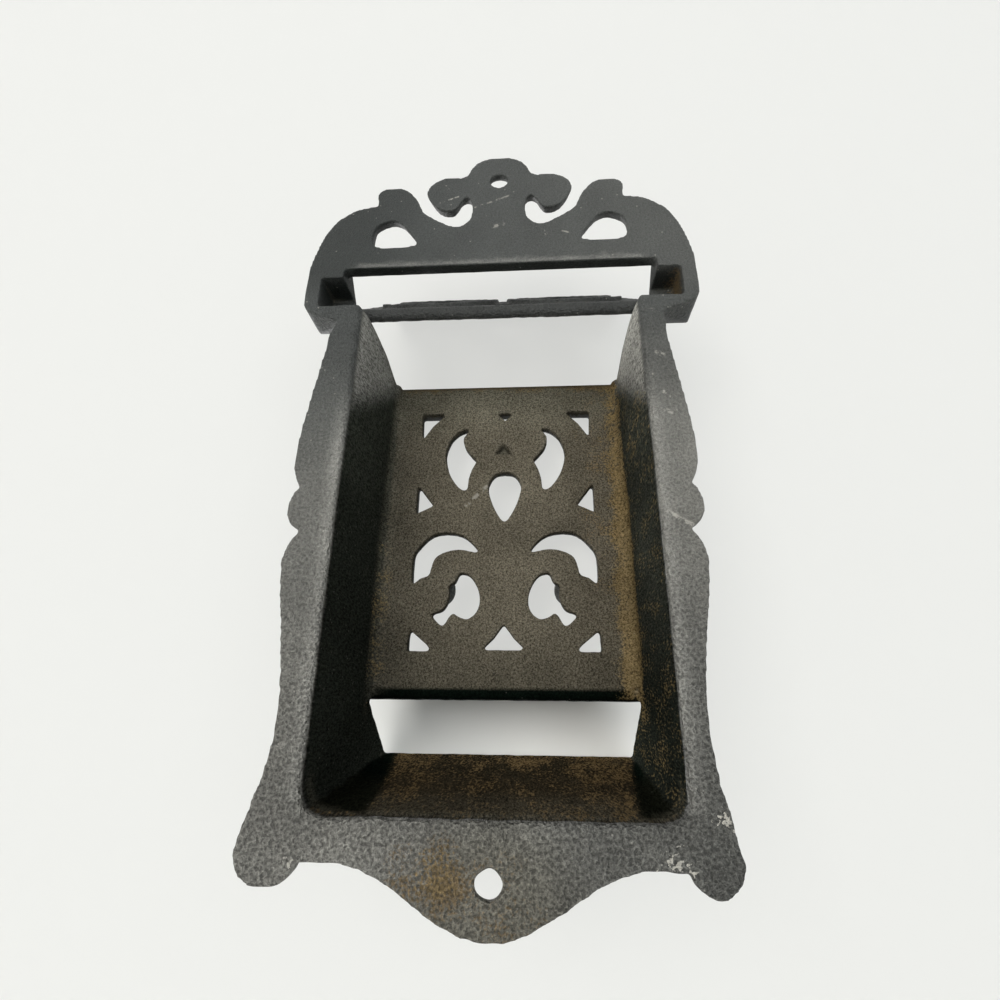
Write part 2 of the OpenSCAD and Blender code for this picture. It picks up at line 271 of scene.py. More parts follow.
# %% Ridges of the panel and the crest
RINGS = (13.3, 49.1)
upper_leaf = [(2.0, 92), (5.5, 90), (7.2, 86), (6.0, 82)]
lower_leaf = [(1.5, 62), (5.5, 66.5), (7.5, 73), (7.0, 78)]
panel_paths = [arc_path((0, 82), 21.6, 90, 450, 90)]
for side in (1, -1):
    middle = np.array(RINGS) * [side, 1]
    panel_paths.append(arc_path(middle, 15.6, 90 - side * 46, 90 + side * 226, 80))
    panel_paths.append(volute((side * 17.6, 46.2), 4.0, 0.8, 90 - side * 10, side * 1.6))
    panel_paths += [curve_through(np.array(p) * [side, 1]) for p in (upper_leaf, lower_leaf)]
panel_ridges = [ridge(p, 1.3, 1.1, on_panel) for p in panel_paths]

stem = [(3.2, 6), (3.6, 13), (4.8, 20), (8.5, 26.2), (13.4, 27.6), (16.6, 24.6), (15.2, 21.0), (12.0, 21.6)]
branch = [(5, 3.6), (14, 3.4), (24, 3.2), (33, 3.4), (40, 3.6), (43.4, 8.2), (40.6, 12.6), (36.6, 10.6)]
bud = [(17.8, 12.8), (21.5, 16.4), (24.2, 21.5), (28.2, 23.6), (29.4, 20.4), (26.6, 19.2)]
crest_paths = []
for side in (1, -1):
    crest_paths += [curve_through(np.array(p) * [side, 1]) for p in (stem, branch, bud)]
crest_paths.append(arc_path((0, 27.5), 5.6, 20, 160, 24))
crest_ridges = [ridge(p, 1.2, 1.0, on_crest) for p in crest_paths]
print(len(panel_ridges) + len(crest_ridges), "ridges on the holder")

# %% [markdown]
# ## Fillets in the tray
# Sand won't hold a sharp inner corner, so the tray's floor runs into each cheek with a hollow curve. A
# bevel can't make it, because the corner lies between two solids. A bar with a hollow quarter circle for
# its section fills the corner instead, and the skin takes it in.

# %% Fillets in the corners of the tray
def fillet(start, end, side, up, radii, steps=6):
    """A bar that fills the corner along a line, with two straight sides and a hollow quarter circle.

    The circle's radius goes from the first to the second of radii along the line.
    """
    t = np.linspace(0, np.pi / 2, steps)
    reach = np.stack([1 - np.sin(t), 1 - np.cos(t)], 1)
    sections = [np.vstack([[[-SUNK, -SUNK]], reach * radius]) for radius in radii]
    points = np.vstack([np.array(end_at) + flat[:, :1] * np.array(side) + flat[:, 1:] * np.array(up)
                        for end_at, flat in zip((start, end), sections)])
    n = steps + 1
    walls = [[i, (i + 1) % n, n + (i + 1) % n, n + i] for i in range(n)]
    return points, walls + [list(range(n))[::-1], list(range(n, 2 * n))]


def tray_corner(side, y):
    """A point of the line where the tray's floor meets a cheek."""
    return (side * BOX_HALF * MM, y * MM, FLOOR_Z + TRAY_RISE * y * MM)


# How deep a fillet's back is sunk in the solids, and the tray's slope
SUNK = 0.3 * MM
TRAY_RISE = 5.5 / 57
BOX_HALF, CORNER_R = 33, 4
tray_fillets = [fillet(tray_corner(side, 0.2), tray_corner(side, 49), (-side, 0, 0), (0, 0, 1),
                       (CORNER_R * MM, 2 * MM)) for side in (1, -1)]
print(len(tray_fillets), "fillets in the tray")

# %% The holder's skin
VOXEL, SOFTEN = 0.36 * MM, 2
holder_parts = [node_arrays(n) for n in HOLDER_NODES] + panel_ridges + crest_ridges + tray_fillets
holder_skin = skin("holder_casting", holder_parts, VOXEL, SOFTEN)
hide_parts(*HOLDER_NODES)
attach(holder_skin, "holder")

# %% [markdown]
# ## Rounder edges where the photograph shows them
# The rim round the open back, the tops of the cheeks and the panel's lower edge are rounder than the rest.
# There each point of the sharp corner that lies outside a circle is drawn in to that circle.

# %% Rounding a corner
def draw_in(a, b, radius, where):
    """How far the points of an outer corner move along two depths, to come onto the rounding circle.

    a and b are depths behind the corner's two faces. The circle's middle lies at depth radius behind both.
    """
    da, db = a - radius, b - radius
    far = np.hypot(da, db)
    sharp = where & (da < 0) & (db < 0) & (far > radius) & (far < 1.6 * radius)
    pull = np.where(sharp, radius / np.maximum(far, 1e-9) - 1, 0)
    return da * pull, db * pull


def behind_rim(x, z):
    """How far a point of the back lies outside the open box, and the direction in which that grows.

    The open box is a rectangle without a top, and its two lower corners are quarter circles.
    """
    a, b = np.abs(x) - (BOX_HALF - CORNER_R), CORNER_R - z
    in_corner = (a > 0) & (b > 0)
    far = np.maximum(np.hypot(a, b), 1e-9)
    away = np.where(in_corner, far, np.maximum(a, b)) - CORNER_R
    return away, np.sign(x) * np.where(in_corner, a / far, a >= b), -np.where(in_corner, b / far, a < b)


# %% Rounded rims
points, normals, edges = mesh_arrays(holder_skin.data)
points /= MM
points[:, 2] -= FLOOR_Z / MM
x, y, z = points.T
RIM_R, CHEEK_R, LIP_R, TOP_R = 1.0, 0.9, 3.2, 1.2
PANEL_Y, MOUTH_Z, RIM_Z = 37, 19, 107.5
still = np.zeros(len(points))
away, across_rim, up_rim = behind_rim(x, z)
a, b = draw_in(away, y, RIM_R, z < RIM_Z)
points += np.stack([across_rim * a, b, up_rim * a], 1)
a, b = draw_in(np.abs(x) - BOX_HALF, RIM_Z - z, CHEEK_R, y < PANEL_Y - 2)
points += np.stack([np.sign(x) * a, still, -b], 1)
a, b = draw_in(y - PANEL_Y, z - MOUTH_Z, LIP_R, np.abs(x) < BOX_HALF)
points += np.stack([still, a, b], 1)
a, b = draw_in(y - PANEL_Y, RIM_Z - z, TOP_R, np.abs(x) < BOX_HALF)
points += np.stack([still, a, -b], 1)
x, y, z = points.T.copy()
print("rims are rounded with circles of", RIM_R, CHEEK_R, LIP_R, "and", TOP_R, "mm")

# %% [markdown]
# ## Draft of the crest
# The edges of a flat casting lean a little, so that its pattern could be drawn out of the sand. On the
# crest they lean in towards the front. Scaling can't do that to a pierced outline, so each point finds the
# nearest point of the edge's wall and moves against the direction in which that wall faces: by more near
# the wall and near the front.

# %% Draft of the crest
def nearest(sites, places):
    """For each place on the flat crest, the number of the nearest site and how far away it is.

    The sites are sorted into a tree of halves, so that only a few of them are compared with each place.
    """
    halves = kdtree.KDTree(len(sites))
    for i, (u, v) in enumerate(sites):
        halves.insert((u, v, 0), i)
    halves.balance()
    found = [halves.find((u, v, 0)) for u, v in places]
    return np.array([f[1] for f in found]), np.array([f[2] for f in found])


# The crest's lower edge, its half width between the bosses, and the place and clear room of its hole
CREST_Z, CREST_HALF, HOLE_Z, HOLE_CLEAR = 118.5, 38, 146, 4.5
# How far the edges lean in, and how far from an edge that reaches
DRAFT, DRAFT_REACH = 0.7, 2.5
crest = (z > CREST_Z + 1.5) & (y > 0.2) & (y < CREST_T + 1.3)
crest &= (np.abs(x) < CREST_HALF) & (np.hypot(x, z - HOLE_Z) > HOLE_CLEAR)
wall = crest & (np.abs(normals[:, 1]) < 0.3) & (y > 0.7) & (y < 2)
flat = points[:, [0, 2]]
index, far = nearest(flat[wall], flat[crest])
outward = normals[wall][index][:, [0, 2]]
outward /= np.linalg.norm(outward, axis=1)[:, None]
pull = DRAFT * fade(0.2, CREST_T, y[crest]) * np.clip(1 - far / DRAFT_REACH, 0, 1)
pull *= fade(CREST_HALF, CREST_HALF - 3, np.abs(x[crest]))
drawn = points[crest]
drawn[:, [0, 2]] -= outward * pull[:, None]
points[crest] = drawn
print("draft moves", len(drawn), "points of the crest")

# %% [markdown]
# ## A casting that isn't quite true
# The cheeks' inner faces flare towards the rim. The outer edges of the rails lie a little to one side, as
# they do when the two halves of a mould don't meet exactly, and the bosses are worn round. The panel has
# one small pit. Each of these could be a sculpted stroke. Here it is a soft mask that says how far a point
# moves, so no edge shows where a change begins.

# %% Flared cheeks, shifted rails and soft bosses
FLARE_LEFT, FLARE_RIGHT, FLARE_DEPTH = 1.5, 1.0, 4
RAIL_SHIFT, EAR_SHIFT = 0.65, 0.5
across = np.abs(x)
flare = np.where(x < 0, FLARE_LEFT, FLARE_RIGHT) * (1 - np.exp(-np.maximum(y, 0) / FLARE_DEPTH))
flare *= 1 - 0.5 * fade(18, 36, y)
flare *= fade(PANEL_Y + 0.2, PANEL_Y - 1, y)
flare *= fade(31, 32.5, across) * fade(36, 33.5, across) * fade(60, 92, z)
points[:, 0] -= np.sign(x) * flare
cast_shift = (RAIL_SHIFT + EAR_SHIFT * fade(12, -6, z)) * fade(35, 38.5, across)
cast_shift *= fade(103, 97, z)
cast_shift *= fade(4.4, 3.2, y)
points[:, 0] -= cast_shift
boss = fade(37.5, 39, across) * fade(99, 101, z) * fade(108, 106.5, z)
rounded = neighbour_mean(points, edges, 1)
rounded += (neighbour_mean(points, edges, 9) - rounded) * boss[:, None]
print("cheeks flare by up to", round(float(flare.max()), 2), "mm")

# %% A pit in the panel
def in_pit(x, z):
    """1 inside the small three-sided pit above the drop-shaped opening, and 0 outside it."""
    half = PIT_HALF * (PIT_TIP - z) / (PIT_TIP - PIT_BASE)
    return fade(-0.3, 0.5, np.minimum(z - PIT_BASE, 0.8 * (half - np.abs(x - PIT_X))))


PIT_X, PIT_HALF, PIT_BASE, PIT_TIP, PIT_DEEP = -0.4, 2.4, 85.0, 88.4, 1.8
pit = in_pit(x, z) * (np.abs(y - PANEL_Y) < 0.8)
rounded[:, 1] += PIT_DEEP * pit
print("the pit takes in", int(np.count_nonzero(pit > 0.5)), "points")

# %% Unevenness of the holder
WAVE_SHORT, WAVE_LONG, WAVE_COUNT = 2.2, 9, 40
low_down = fade(60, -10, z)
wander = waves(points, WAVE_SHORT, WAVE_LONG, WAVE_COUNT, 11)
wander *= 0.02 + 0.05 * low_down
wander *= 1 - 0.5 * fade(1, 4, y)
rounded += normals * wander[:, None]
rounded[:, 2] += FLOOR_Z / MM
put_points(holder_skin.data, rounded * MM)
print("unevenness in mm, rms:", round(float(wander.std()), 3))

# %% [markdown]
# ## The lid's scrolls
# The lid lies face up in the photograph, so its scrolls can be followed closely: two ridges run round each
# ring, a volute curls in from the outer end, and two leaves grow from the inner end.

# %% Ridges and skin of the lid
def about(side, x, y):
    """A place on one half of the lid, from the middle of its ring."""
    return (side * (RING_X + x), RING_Y + y)


RING_X, RING_Y, RING_R = 18.5, 20.4, 17.7
lid_paths = []
for side in (1, -1):
    middle = about(side, 0, 0)
    lid_paths.append((arc_path(middle, RING_R - 1.4, 90 - side * 48, 90 + side * 228, 80), 1.0))
    lid_paths.append((arc_path(middle, RING_R - 3.6, 90 - side * 40, 90 + side * 214, 80), 0.9))
    lid_paths.append((volute(about(side, 6.7, 2.7), 4.7, 0.7, 90 - side * 20, side * -1.7), 1.1))
    lid_paths.append((arc_path(about(side, -4.0, -0.3), 8.0, 90 - side * 4, 90 + side * 172, 50), 1.2))
lid_ridges = [ridge(p, w, 1.0, on_lid) for p, w in lid_paths]
lid_skin = skin("lid_casting", [node_arrays("lid")] + lid_ridges, VOXEL, SOFTEN)
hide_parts("lid")
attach(lid_skin, "lid")
points, normals, edges = mesh_arrays(lid_skin.data)
wander = waves(points / MM, WAVE_SHORT, WAVE_LONG, WAVE_COUNT, 12) * 0.04
put_points(lid_skin.data, points + normals * (wander * MM)[:, None])

# %% [markdown]
# ## Where paint wears and dust stays
# Wear shows on outer edges and dust in inner corners. Both come from the skin itself: a point that stands
# proud of its neighbours is on an edge, and one that lies behind them is in a corner. The result is kept on
# the mesh as two attributes, so the finish follows the shape in every view.

# %% Wear and dust as attributes
def keep(mesh, name, values):
    """Stores one number per point."""
    mesh.attributes.new(name, "FLOAT", "POINT").data.foreach_set("value", values.astype(np.float32))


def mark_edges(piece, rounds, full):
    """Wear where the skin stands proud of its neighbours by up to full, and dust where it lies behind."""
    points, normals, edges = mesh_arrays(piece.data)
    proud = np.sum((points - neighbour_mean(points, edges, rounds)) * normals, 1)[:, None]
    proud = neighbour_mean(proud, edges, 3)[:, 0]
    keep(piece.data, "wear", fade(0.1 * full, full, proud))
    keep(piece.data, "dust", fade(0.1 * full, full, -proud) * (0.35 + 0.65 * fade(2, 4, points[:, 1] / MM)))
    print(piece.name, "worn share:", round(float(fade(0, full, proud).mean()), 3))
    return points / MM, normals


EDGE_ROUNDS = 10
holder_at, holder_normals = mark_edges(holder_skin, EDGE_ROUNDS, 0.3 * MM)
mark_edges(lid_skin, EDGE_ROUNDS, 0.25 * MM)

# %% [markdown]
# ## Tones of the holder
# The flat back has gone grey, most of all low down, while the crest stays darker and smoother. Inside the
# box the paint is brown on the panel and nearly black on the cheeks. Painted shade darkens the cheeks and the
# panel towards the bottom, the tray beside the lit fan, the pockets, the pit and the underside of the hinge
# bar.
# Painted light lifts the upper cheeks, the panel's top and the left corner, a painted highlight runs along
# the rim, and a painted reflection runs across the back. Rust has crept along the right corner, over the
# tray, along the panel's upper edge and into the right pocket. Each tone is a soft mask worked out from the
# place.

# %% Tone masks
x, y, z = holder_at.T
height = z - FLOOR_Z / MM
across = np.abs(x)
above_tray = height - TRAY_RISE * y
sideways = np.abs(holder_normals[:, 0])
right = fade(-5, 5, x)
from_sill = fade(6, 2, above_tray)
on_floor = fade(-2, -0.8, above_tray)
in_box = fade(0.8 - 0.5 * from_sill, 2.2 + 1.8 * from_sill, y) * fade(36, 34, across) * fade(109, 106, height)
in_box *= (1 - fade(38.4, 39.6, y) * fade(16, 19, height)) * on_floor
panel = fade(34.5, 36.5, y) * fade(39.6, 38.4, y) * fade(34, 31, across) * fade(17, 20, height)
tray = fade(12, 6, above_tray) * fade(0.3, 4, y) * fade(35, 32, across) * fade(0.85, 0.5, sideways) * on_floor
side_wall = in_box * (1 - panel) * (1 - tray) * fade(0.4, 0.7, sideways)
cheek = side_wall * fade(87, 76, height - 0.7 * y)
upper_cheek = side_wall - cheek
corner = fade(4.6, 0.4, np.hypot(across - 31.8, y - 35.4)) * fade(10, 30, height) * fade(38.5, 37.5, y)
foot = fade(5.5, 2, np.hypot(across - 31.5, above_tray - 1.5)) * fade(2, 4, y) * fade(8, 5, y)
# The edge of the cheeks' painted shadow on the tray: beyond it the floor lies in that shadow, within it is
# the lit fan.
tray_edge = 23.5 + 1.8 * np.sign(x) + 8 * np.clip(y / 54, 0, 1) ** 1.5
tray_side = tray * fade(-1, 1, across - tray_edge) * fade(2.4, 4.4, y)
tray_middle = tray - tray_side
print("share of points inside the box:", round(float(in_box.mean()), 2))

# %% Masks of the back
above_bar = height - CREST_Z
flat_back = fade(3.6, 2.8, y)
# The underside of the hinge bar, the pockets and the panel's lower lip take painted shade.
underside = fade(-0.1, -0.4, holder_normals[:, 2]) * fade(0.1, 0.4, y) * fade(4, 3, y)
hinge_bar = underside * fade(36.5, 35.5, across) * fade(115, 117, height) * fade(121, 120, height)
bar_edge = fade(1.4, 0.7, above_bar) * fade(0.1, 0.4, above_bar) * fade(0.35, 0.1, y) * fade(36, 34, across)
pocket = fade(1, 3, y) * fade(9, 7.5, y) * fade(34, 35.5, across) * fade(46, 45.2, across)
pocket *= fade(105, 108, height) * fade(121, 118, height)
lip = fade(22.2, 20.8, height) * fade(17, 18, height) * fade(35.5, 36.5, y) * fade(34, 32.5, across)
print("share of points on the flat back:", round(float(flat_back.mean()), 2))

# %% Rust and ochre masks
def spot(at_x, at_height, reach, core, squeeze=1.0):
    """A round patch: 1 within core of a place, 0 beyond reach; a squeeze below 1 widens it across."""
    return fade(reach, core, np.hypot((x - at_x) * squeeze, height - at_height))


floor_rust = 0.24 + 0.2 * fade(30, 52, y) + 0.28 * fade(10, 28, x) + 0.2 * fade(-10, -28, x)
rust = tray_middle * floor_rust
rust += panel * (0.55 * fade(104, 106.5, height) + 0.2 * fade(14, 26, x) * fade(20, 70, height))
rust += 0.7 * spot(44, 112, 7, 3) * fade(46, 45.2, x) * fade(0.5, 2, y) * fade(9, 7.5, y)
rust += (0.6 * spot(-9.5, -7.5, 8, 2, 0.8) + 0.3 * spot(0, -16, 16, 5)) * flat_back
rust += 0.4 * corner * right * fade(50, 80, height)
corner_ochre = 0.75 + 0.45 * fade(75, 45, height) - 0.3 * fade(80, 104, height)
ochre = right * (corner * corner_ochre + 0.2 * cheek) + 0.3 * panel * fade(24, 31, x)
ochre += 0.35 * corner * (1 - right) * fade(80, 40, height)
ochre += 0.5 * spot(-9, -7.4, 6, 1.5, 0.8) * flat_back
print("share of points likely to rust:", round(float((rust + ochre > 0.2).mean()), 2))

# %% Masks of painted shade, and of dust with painted light
# Painted shade on the cheeks: darker towards the bottom, the left cheek darker than the right; the panel's
# lower lip takes it in full.
left_shade = 0.2 + 0.35 * fade(85, 45, height)
right_shade = 0.25 * fade(80, 10, height) + 0.45 * fade(40, 15, height)
painted_shade = cheek * ((1 - right) * left_shade + right * right_shade) + lip
# Painted shade on the tray: darker in the middle and towards the front, and nearly black beside the lit fan,
# where the cheeks' painted shadow falls.
painted_shade += tray * (0.15 * fade(24, 8, across) * fade(6, 14, y) + 0.3 * fade(22, 46, y)) + 0.85 * tray_side
# Painted shade on the panel towards the bottom and in the pit.
painted_shade += panel * (0.28 * fade(42, 22, height) + 0.95 * in_pit(x, height))
# Painted shade under the hinge bar and in the pockets, more in the right one.
painted_shade += 0.8 * hinge_bar + pocket * (0.4 + 0.35 * right)
# Painted shade on the left half of the crest.
painted_shade += 0.45 * fade(108, 118, height) * fade(-5, -40, x)
# Dust at the feet of the fillets and on the lower flange; the band along the left corner is lighter as
# painted light.
dust_and_painted_light = 0.4 * corner * (1 - 0.7 * right) + 0.3 * foot + 0.55 * spot(0, -14, 20, 6) * flat_back
# Lighter towards the back of the tray: painted light, partly dust.
dust_and_painted_light += tray_middle * (0.25 * fade(22, 8, y) + 0.4 * fade(6, 2, y))
# Painted light on the panel's top.
dust_and_painted_light += 0.9 * panel * fade(86, 104, height)
print("share of points under soot:", round(float((painted_shade > 0.2).mean()), 2))

# %% Masks of grey worn paint, painted reflection and painted light
# Painted reflection: the back is lighter towards the lower left and the upper right.
lean = (x / 40) * (height - 50) / 60
grey = fade(116, 50, height) * (1 - in_box) * (0.8 + 0.45 * lean) * (0.15 + 0.85 * fade(5, 3, y))
# Painted shade on the upper left rail, then painted light on the middle of the right rail.
grey *= 1 - 0.4 * fade(60, 80, height) * fade(-10, -30, x)
grey *= 1 + 0.15 * (x / 38) * fade(20, 40, height) * fade(90, 65, height)
# Painted light on the upper cheeks, and on the back from the hinge bar up, more to the right.
grey += 0.9 * upper_cheek + 0.07 * fade(104, 116, height) * (1 + x / 30)
# The rim band is partly worn paint and partly a painted highlight on the rounded inner edge; on the upper
# cheeks it is painted light.
rim = fade(3.6, 0.6, across - BOX_HALF) * fade(32.2, 32.8, across) * fade(1.6, 0.8, y)
rim *= 0.45 * fade(0, 4, height) * fade(88, 66, height)
rim += 0.35 * bar_edge + upper_cheek * (0.75 + 0.25 * right)
coarse = 0.1 + (0.25 * fade(112, 104, height) + 0.65 * fade(80, -5, height)) * (1 - in_box)
print("mean of the grey:", round(float(grey.mean()), 2))

# %% Masks kept on the holder
HOLDER_TRIANGLES, LID_TRIANGLES = 190000, 110000
masks = {"pale": grey, "panel": panel, "tray": tray, "cheek": cheek, "dust_and_painted_light": dust_and_painted_light, "rim": rim, "painted_shade": painted_shade,
         "matt": in_box + tray + cheek, "rust": rust, "ochre": ochre, "coarse": coarse}
for name, mask in masks.items():
    keep(holder_skin.data, name, np.clip(mask, 0, 1))
thinned(holder_skin, HOLDER_TRIANGLES)
thinned(lid_skin, LID_TRIANGLES)

# %% [markdown]
# ## Two finishes on one skin
# Inside the box the paint is matt, while the back still has a faint sheen. How strongly a surface
# shines is one plain number on the shader, so the skin gets two materials, and each face inside the box
# takes the second.

# %% Faces inside the box
def face_mean(mesh, name):
    """The mean over each face of a number that is kept on its points."""
    corners = np.empty(len(mesh.loops), dtype=int)
    mesh.loops.foreach_get("vertex_index", corners)
    starts = np.empty(len(mesh.polygons), dtype=int)
    mesh.polygons.foreach_get("loop_start", starts)
    values = np.empty(len(mesh.vertices), dtype=np.float32)
    mesh.attributes[name].data.foreach_get("value", values)
    return np.add.reduceat(values[corners], starts) / np.diff(np.append(starts, len(corners)))


matt_faces = face_mean(holder_skin.data, "matt") > 0.5
print("share of faces inside the box:", round(float(matt_faces.mean()), 2))

# %% [markdown]
# ## Old blackened iron
# The paint is a dull black with the grain of the sand showing through, coarser towards the lower flange.
# Effects that both castings share are groups of nodes with named inputs: the grain, small pale grains,
# scratches, flaked paint and rust. Each material then only says where and how strongly.

# %% Helpers for shader nodes
def new_group(name, inputs, outputs):
    """An empty node group with its sockets: inputs as (name, kind, value), outputs as names of masks."""
    group = bpy.data.node_groups.new(name, "ShaderNodeTree")
    for label, kind, value in inputs:
        socket = group.interface.new_socket(name=label, in_out="INPUT", socket_type="NodeSocket" + kind)
        socket.default_value = value
    for label in outputs:
        group.interface.new_socket(name=label, in_out="OUTPUT", socket_type="NodeSocketFloat")
    return group, group.nodes.new("NodeGroupInput").outputs, group.nodes.new("NodeGroupOutput").inputs


def node(tree, kind, links=None, **values):
    """A node with its settings; links gives, for an input, the output that feeds it or a plain value."""
    made = tree.nodes.new(kind)
    for key, value in values.items():
        setattr(made, key, value)
    for key, source in (links or {}).items():
        if isinstance(source, bpy.types.NodeSocket):
            tree.links.new(source, made.inputs[key])
        else:
            made.inputs[key].default_value = source
    return made


def ramp(tree, source, low, high):
    """A value stretched so that low becomes 0 and high becomes 1, with a soft start and end."""
    return node(tree, "ShaderNodeMapRange", {"Value": source, "From Min": low, "From Max": high},
                interpolation_type="SMOOTHSTEP").outputs[0]


def stretched(tree, source, low, high, least, most):
    """A value between low and high stretched to lie between least and most."""
    return node(tree, "ShaderNodeMapRange", {"Value": source, "From Min": low, "From Max": high,
                                             "To Min": least, "To Max": most}).outputs[0]


def mixed(tree, factor, first, second, blend="MIX"):
    """Two colours mixed by a mask; a Mix node of colours takes them on its sockets 6 and 7."""
    return node(tree, "ShaderNodeMix", {0: factor, 6: first, 7: second}, data_type="RGBA",
                blend_type=blend).outputs[2]


# %% Helpers for sums and places
def calc(tree, operation, first, second):
    """One operation on two numbers."""
    return node(tree, "ShaderNodeMath", {0: first, 1: second}, operation=operation).outputs[0]


def times(tree, first, second):
    """Two numbers multiplied."""
    return calc(tree, "MULTIPLY", first, second)


def plus(tree, first, second):
    """Two numbers added."""
    return calc(tree, "ADD", first, second)


def vector(tree, operation, first, second, output=0):
    """One operation on two vectors; output picks what it gives, a vector or a number."""
    return node(tree, "ShaderNodeVectorMath", {0: first, 1: second}, operation=operation).outputs[output]


def noise(tree, place, scale, detail):
    """Cloudy noise between 0 and 1."""
    return node(tree, "ShaderNodeTexNoise", {"Vector": place, "Scale": scale, "Detail": detail}).outputs[0]


def object_place(tree):
    """The place on the piece, in metres of the shared frame."""
    return node(tree, "ShaderNodeTexCoord").outputs["Object"]


def drawn_out(tree, share):
    """The place on the piece with a share of its depth from the wall, which draws a pattern out."""
    place = object_place(tree)
    scale = node(tree, "ShaderNodeCombineXYZ", {0: 1.0, 1: share, 2: 1.0}).outputs[0]
    return vector(tree, "MULTIPLY", place, scale)


# %% [markdown]
# ### Grain of the sand
# Sand leaves three sizes of grain: fine dust, sand and small pebbles. Three noises with scales in grains
# per metre make them, and a slow cloud mottles the paint. On the box's walls the pattern is drawn out along
# their depth.

# %% Group: sand-cast grain
grain_group, given, out = new_group("cast_grain", [("Coarse", "Float", 0.3), ("Depth", "Float", 1.0)],
                                    ["Height", "Mottle", "Grain", "Pits", "Peaks"])
tree = grain_group
place = drawn_out(tree, given["Depth"])
fine = noise(tree, place, 4200, 1)
sand = noise(tree, place, 2000, 2)
pebble = noise(tree, place, 1600, 2)
cloud = noise(tree, place, 70, 4)
sandy = plus(tree, times(tree, sand, 0.5), times(tree, fine, 0.5))
peel = times(tree, pebble, times(tree, given["Coarse"], 3.6))
tree.links.new(plus(tree, times(tree, sandy, 0.8), peel), out["Height"])
tree.links.new(cloud, out["Mottle"])
tree.links.new(ramp(tree, sandy, 0.3, 0.7), out["Grain"])
for label, low, high in (("Pits", 0.5, 0.4), ("Peaks", 0.53, 0.64)):
    spots = times(tree, ramp(tree, pebble, low, high), given["Coarse"])
    tree.links.new(spots, out[label])
print(grain_group.name, "has", len(grain_group.nodes), "nodes")

# %% [markdown]
# ### Rust
# Rust eats outwards from where it is most likely, with a ragged edge and loose specks ahead of it. So a
# noise is added to the likelihood before the result is cut off. Where rust isn't likely at all, a second
# ramp keeps it out.

# %% Group: rust that eats outwards
rust_group, given, out = new_group("creeping_rust", [("Likely", "Float", 0.0), ("Depth", "Float", 1.0)],
                                   ["Mask"])
tree = rust_group
place = drawn_out(tree, given["Depth"])
ragged = plus(tree, times(tree, noise(tree, place, 210, 5), 0.45),
              times(tree, noise(tree, place, 2000, 2), 0.55))
strayed = times(tree, calc(tree, "SUBTRACT", ragged, 0.5), 3.4)
spread = plus(tree, given["Likely"], strayed)
possible = ramp(tree, given["Likely"], 0.02, 0.15)
eaten = times(tree, ramp(tree, spread, 0.25, 0.85), possible)
tree.links.new(eaten, out["Mask"])
print(rust_group.name, "has", len(rust_group.nodes), "nodes")

# %% [markdown]
# ### Flaked paint and scratches
# Chips lie close together where the casting was knocked: a noise is cut off high, and lower near the knock.
# A scratch is all places within a small distance of a straight stretch, broken up by a second noise.

# %% Group: flaked paint about a point
flake_group, given, out = new_group("paint_flakes", [("Middle", "Vector", (0, 0, 0)),
                                                     ("Radius", "Float", 0.004)], ["Mask"])
tree = flake_group
place = object_place(tree)
far = vector(tree, "DISTANCE", place, given["Middle"], "Value")
near = ramp(tree, calc(tree, "DIVIDE", far, given["Radius"]), 1.0, 0.1)
flakes = plus(tree, noise(tree, place, 1100, 2), times(tree, near, 0.2))
flakes = times(tree, ramp(tree, flakes, 0.69, 0.74), ramp(tree, near, 0, 0.2))
tree.links.new(flakes, out["Mask"])
print(flake_group.name, "has", len(flake_group.nodes), "nodes")

# %% Group: a broken scratch between two points
scratch_group, given, out = new_group("scratch", [("Start", "Vector", (0, 0, 0)),
                                                  ("End", "Vector", (0, 0, 0.01)),
                                                  ("Width", "Float", 0.0003)], ["Mask"])
tree = scratch_group
place = object_place(tree)
axis = vector(tree, "SUBTRACT", given["End"], given["Start"])
reach = vector(tree, "SUBTRACT", place, given["Start"])
reached = vector(tree, "DOT_PRODUCT", reach, axis, "Value")
whole = vector(tree, "DOT_PRODUCT", axis, axis, "Value")
along = node(tree, "ShaderNodeMath", {0: reached, 1: whole}, operation="DIVIDE", use_clamp=True).outputs[0]
closest = node(tree, "ShaderNodeVectorMath", {0: axis, "Scale": along}, operation="SCALE").outputs[0]
apart = vector(tree, "DISTANCE", reach, closest, "Value")
line = ramp(tree, calc(tree, "DIVIDE", apart, given["Width"]), 1.0, 0.2)
broken = ramp(tree, noise(tree, place, 700, 3), 0.44, 0.56)
tree.links.new(times(tree, line, broken), out["Mask"])
print(scratch_group.name, "has", len(scratch_group.nodes), "nodes")

# %% [markdown]
# ### Pale specks
# Single grains of sand have lost their paint. Voronoi cells are about as large as those grains, and a few
# cells are picked by their random colour.

# %% Group: small pale grains
speck_group, given, out = new_group("pale_specks", [("Amount", "Float", 0.05)], ["Mask"])
tree = speck_group
place = object_place(tree)
cells = node(tree, "ShaderNodeTexVoronoi", {"Vector": place, "Scale": 1300})
pick = node(tree, "ShaderNodeSeparateColor", {0: cells.outputs["Color"]}).outputs[0]
chosen = calc(tree, "LESS_THAN", pick, given["Amount"])
middles = ramp(tree, cells.outputs["Distance"], 0.36, 0.1)
tree.links.new(times(tree, middles, chosen), out["Mask"])
print(speck_group.name, "has", len(speck_group.nodes), "nodes")

# %% [markdown]
# ## The two castings' materials
# One function paints either of the two: base tones by mask, with painted light and shade among them,
# mottling, rust, worn edges, dusty corners, then specks, scratches and flakes. Colours are linear values of
# dry paint seen in plain light, except the near black of the painted shade.

